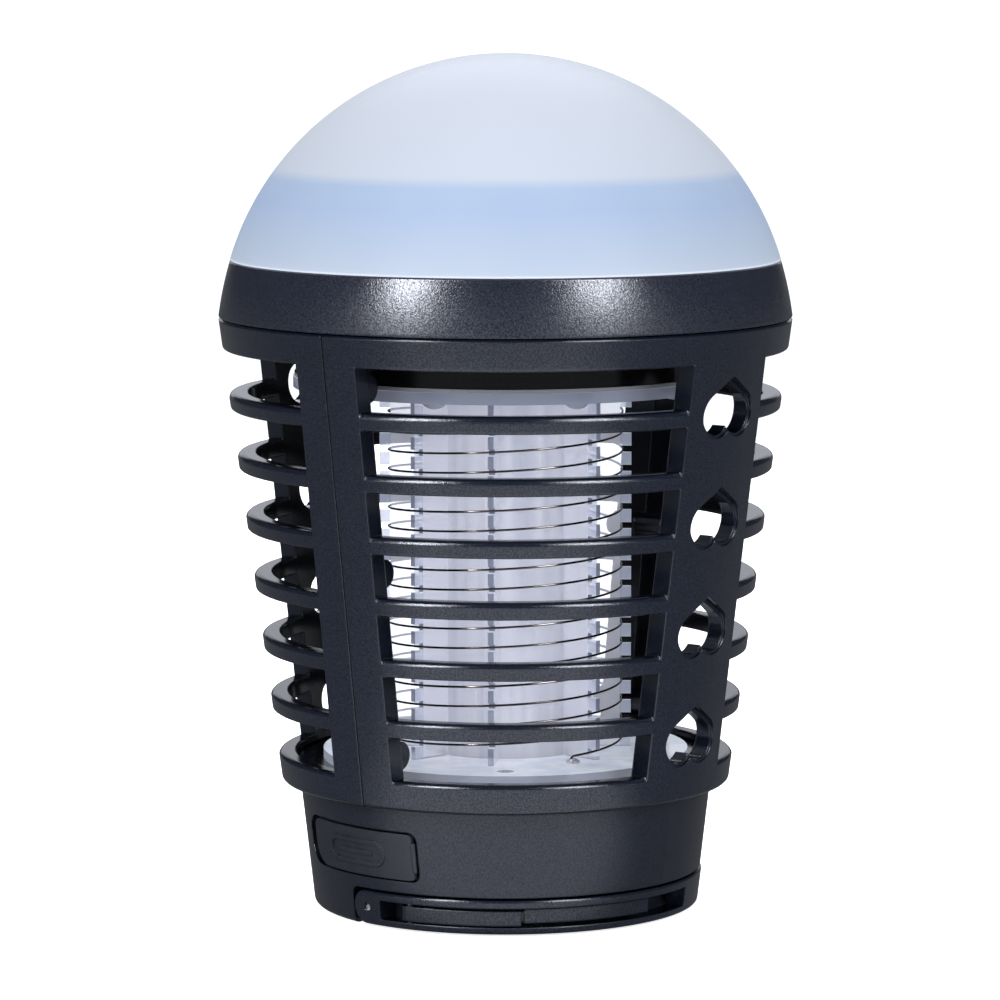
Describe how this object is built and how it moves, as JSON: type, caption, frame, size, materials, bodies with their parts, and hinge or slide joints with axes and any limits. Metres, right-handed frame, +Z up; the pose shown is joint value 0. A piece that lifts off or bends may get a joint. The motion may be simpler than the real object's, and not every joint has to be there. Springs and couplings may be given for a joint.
{
  "type": "electric bug zapper",
  "caption": "Rechargeable lantern bug zapper: louvered cage round a wired clear coil former, translucent dome on top, flush folding bail in the base.",
  "frame": {"origin": "middle of the underside, on the surface it stands on", "axes": "+Z up through the dome; the cage seam lies on the Y axis and the heart pillars on the X axis; the bail folds against the +X side"},
  "size_m": [0.089, 0.089, 0.1326],
  "materials": {
    "shell": "fine textured charcoal plastic",
    "collar": "spark-textured satin charcoal plastic",
    "inner_black": "smooth black plastic",
    "diffuser": "frosted translucent white plastic",
    "tray": "plain white plastic",
    "seal": "soft grey rubber",
    "rubber_plug": "smooth dark rubber",
    "clear": "clear moulded plastic",
    "white_board": "white solder mask",
    "green_board": "green solder mask",
    "led_body": "yellow phosphor in a white package",
    "uv_lens": "pale violet lens",
    "sleeve": "white reflector film",
    "cell_wrap": "blue shrink wrap",
    "steel": "bright stainless steel",
    "brass": "plated brass",
    "ferrite": "copper winding under tape",
    "film_capacitor": "red dipped film capacitor",
    "chip": "black moulding",
    "switch": "black nylon",
    "wire_cover": "red insulation"
  },
  "bodies": {
    "housing": {"dome_diffuser": "diffuser", "dome_seal": "seal", "collar_ring": "collar", "led_tray": "tray", "led_board": "white_board", "lantern_leds": "led_body", "tray_screws": "steel", "head_deck": "inner_black", "deck_screws": "steel", "uv_board": "white_board", "uv_leds": "uv_lens", "battery_contact": "brass", "battery_cell": "cell_wrap", "reflector_sleeve": "sleeve", "battery_spring": "steel", "coil_former": "clear", "grid_wire_a": "steel", "grid_wire_b": "steel", "wire_terminals": "brass", "cage_half_front": "shell", "cage_half_rear": "shell", "cage_screws": "steel", "base_cup": "shell", "base_plate": "inner_black", "base_screws": "steel", "main_board": "green_board", "usb_socket": "steel", "hv_transformer": "ferrite", "hv_capacitor": "film_capacitor", "control_chip": "chip", "tact_switch": "switch", "grid_leads": "wire_cover", "lantern_leads": "wire_cover", "bail_pins": "steel"},
    "bail": {"bail": "shell", "hook_pin": "steel"},
    "swing_hook": {"swing_hook": "shell"},
    "port_plug": {"port_plug": "rubber_plug"},
    "mode_button": {"mode_button": "rubber_plug", "switch_plunger": "switch"}
  },
  "joints": [
    {"name": "bail_swing", "type": "hinge", "parent": "housing", "child": "bail", "pos_m": [-0.0032, 0, 0.003], "axis": [0, 1, 0], "range_deg": [0, 90]},
    {"name": "hook_swing", "type": "hinge", "parent": "bail", "child": "swing_hook", "pos_m": [0.00375, -0.02845, 0.0028], "axis": [0, 0, -1], "range_deg": [0, 120]},
    {"name": "plug_hinge", "type": "hinge", "parent": "housing", "child": "port_plug", "pos_m": [0.00621, -0.0305, 0.0117], "axis": [-0.0191, -0.1207, 0.9925], "range_deg": [0, 110]},
    {"name": "button_press", "type": "slide", "parent": "housing", "child": "mode_button", "axis": [0, 0, 1], "range_m": [0, 0.0005], "stiffness_N_per_m": 1500}
  ]
}
